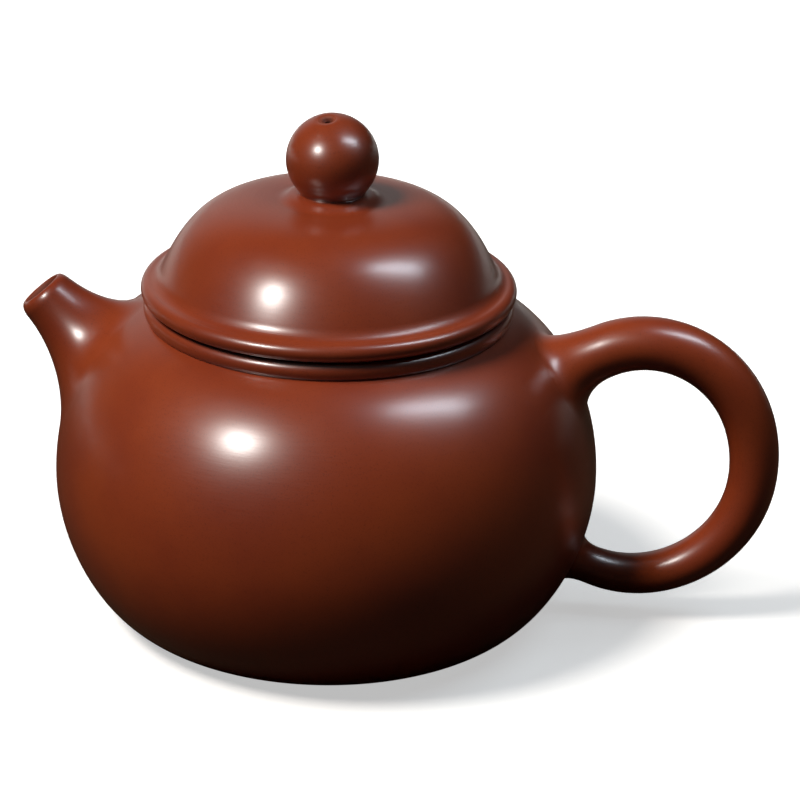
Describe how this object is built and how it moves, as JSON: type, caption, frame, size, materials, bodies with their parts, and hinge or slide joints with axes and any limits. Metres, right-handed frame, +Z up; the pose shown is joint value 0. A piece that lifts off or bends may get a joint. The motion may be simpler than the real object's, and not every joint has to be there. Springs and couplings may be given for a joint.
{
  "type": "teapot",
  "caption": "Small round clay teapot with a short flared spout, a round loop handle and a domed lift-off lid with a ball knob.",
  "frame": {"origin": "On the pot's own axis, at the table: the centre of the flat base.", "axes": "+Z up, +X towards the handle, -X towards the spout."},
  "size_m": [0.1188, 0.085, 0.08],
  "materials": {
    "polished_clay": "unglazed red-brown clay, burnished to a soft gloss",
    "plain_clay": "the same clay, smoothed but not burnished"
  },
  "bodies": {
    "pot": {"base_disc": "plain_clay", "belly_wall": "polished_clay", "shoulder_disc": "polished_clay", "mouth_ring": "polished_clay", "spout": "polished_clay", "strainer": "plain_clay", "handle": "polished_clay"},
    "lid": {"lid_dome": "polished_clay", "lid_rim": "polished_clay", "lid_tongue": "plain_clay", "knob_collar": "polished_clay", "knob": "polished_clay"}
  },
  "joints": [
    {"name": "lid_lift", "type": "slide", "parent": "pot", "child": "lid", "axis": [0, 0, 1], "range_m": [0, 0.04]}
  ]
}
